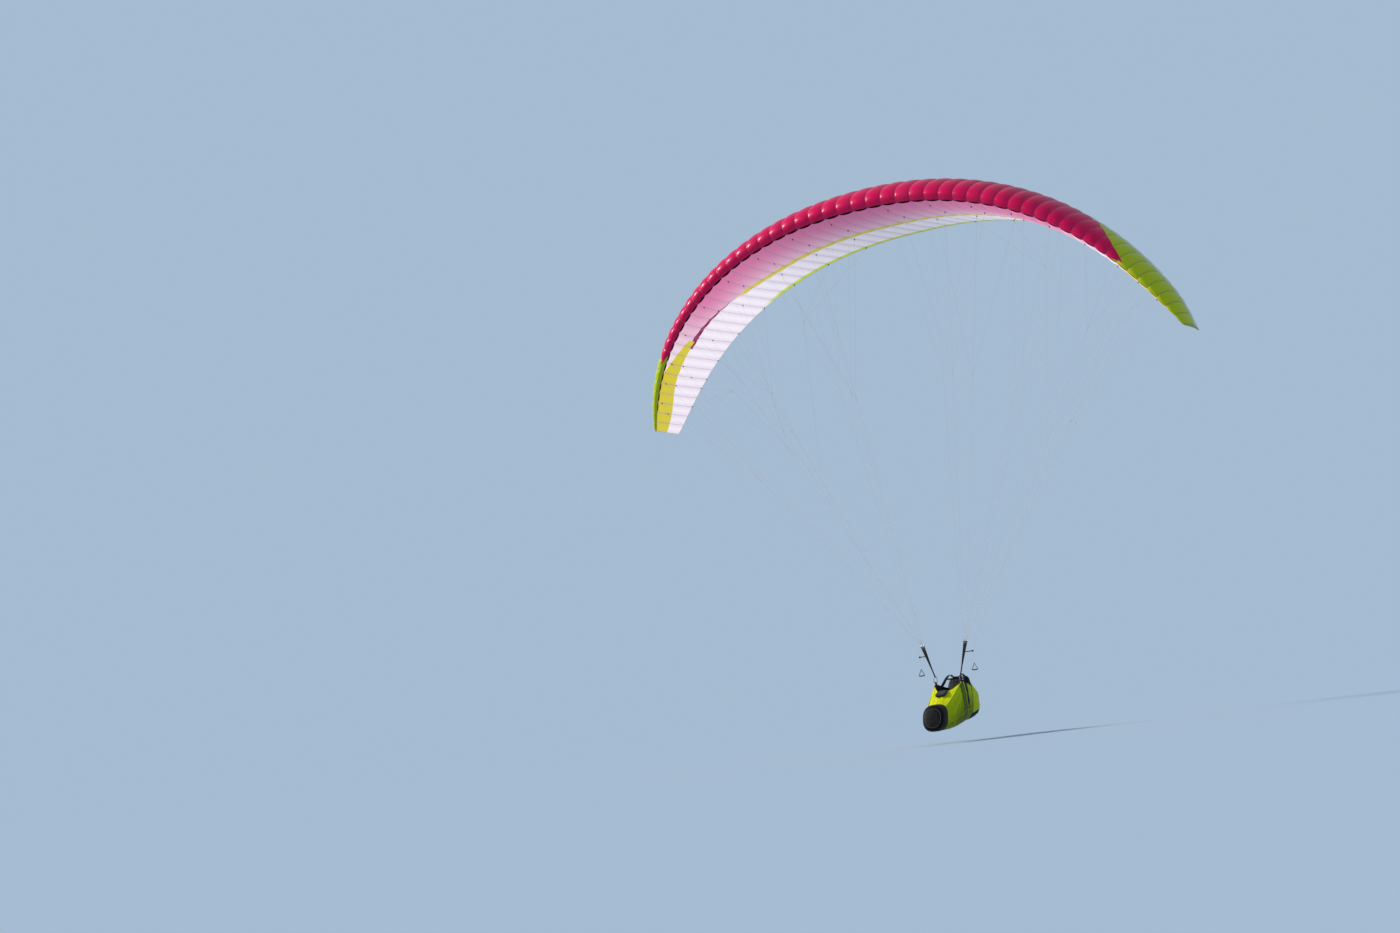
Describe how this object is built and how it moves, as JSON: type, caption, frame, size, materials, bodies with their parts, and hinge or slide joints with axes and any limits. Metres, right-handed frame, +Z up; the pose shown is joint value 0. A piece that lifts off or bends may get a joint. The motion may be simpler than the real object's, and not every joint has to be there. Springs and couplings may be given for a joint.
{
  "type": "paraglider",
  "caption": "Arched ram-air wing on taut suspension lines, webbing risers and carabiners, with pull-down brake handles and a reclining pod harness.",
  "frame": {"origin": "on the wing's root chord line, 40% of the chord behind the nose", "axes": "+X is the flight direction, +Y is to the pilot's left, +Z is up"},
  "size_m": [2.8215, 9.4996, 8.7763],
  "materials": {
    "wing_magenta": "satin",
    "wing_white": "satin",
    "wing_lime": "satin",
    "line_pale": "matte",
    "webbing_black": "matte",
    "handle_webbing": "matte",
    "carabiner_alloy": "satin",
    "link_steel": "satin",
    "pulley_plastic": "satin",
    "plate_plastic": "matte",
    "seat_wood": "matte",
    "foam_black": "matte",
    "pod_lime": "satin",
    "pod_black": "matte"
  },
  "bodies": {
    "wing": {"canopy_center": "wing_magenta", "canopy_inner_left": "wing_white", "canopy_outer_left": "wing_white", "canopy_inner_right": "wing_white", "canopy_outer_right": "wing_white", "canopy_tip_left": "wing_lime", "canopy_tip_right": "wing_lime", "riser_left": "webbing_black", "carabiner_left": "carabiner_alloy", "line_link_A_left": "link_steel", "line_link_B_left": "link_steel", "line_link_C_left": "link_steel", "line_A1_left": "line_pale", "line_A2_left": "line_pale", "line_A3_left": "line_pale", "line_B1_left": "line_pale", "line_B2_left": "line_pale", "line_B3_left": "line_pale", "line_C1_left": "line_pale", "line_C2_left": "line_pale", "line_brake_left": "line_pale", "brake_pulley_left": "pulley_plastic", "riser_right": "webbing_black", "carabiner_right": "carabiner_alloy", "line_link_A_right": "link_steel", "line_link_B_right": "link_steel", "line_link_C_right": "link_steel", "line_A1_right": "line_pale", "line_A2_right": "line_pale", "line_A3_right": "line_pale", "line_B1_right": "line_pale", "line_B2_right": "line_pale", "line_B3_right": "line_pale", "line_C1_right": "line_pale", "line_C2_right": "line_pale", "line_brake_right": "line_pale", "brake_pulley_right": "pulley_plastic"},
    "harness": {"pod_hull": "pod_lime", "leg_cover": "pod_lime", "foot_cap": "pod_black", "foot_plate": "plate_plastic", "seat_board": "seat_wood", "seat_protector": "foam_black", "back_pad": "foam_black", "back_shell": "pod_black", "rear_fairing": "pod_lime", "hang_strap_left": "webbing_black", "hang_strap_right": "webbing_black", "shoulder_strap_left": "webbing_black", "shoulder_strap_right": "webbing_black", "chest_strap": "webbing_black", "cockpit": "pod_black"},
    "brake_left": {"brake_handle_left": "handle_webbing", "brake_line_low_left": "line_pale"},
    "brake_right": {"brake_handle_right": "handle_webbing", "brake_line_low_right": "line_pale"}
  },
  "joints": [
    {"name": "harness_pitch", "type": "hinge", "parent": "wing", "child": "harness", "pos_m": [-0.35, 0, -7.648], "axis": [0, 1, 0], "range_deg": [-25, 35]},
    {"name": "brake_left_pull", "type": "slide", "parent": "wing", "child": "brake_left", "axis": [0, 0, -1], "range_m": [-0.15, 0.45], "deforming": ["brake_line_low_left"]},
    {"name": "brake_right_pull", "type": "slide", "parent": "wing", "child": "brake_right", "axis": [0, 0, -1], "range_m": [-0.15, 0.45], "deforming": ["brake_line_low_right"]}
  ]
}
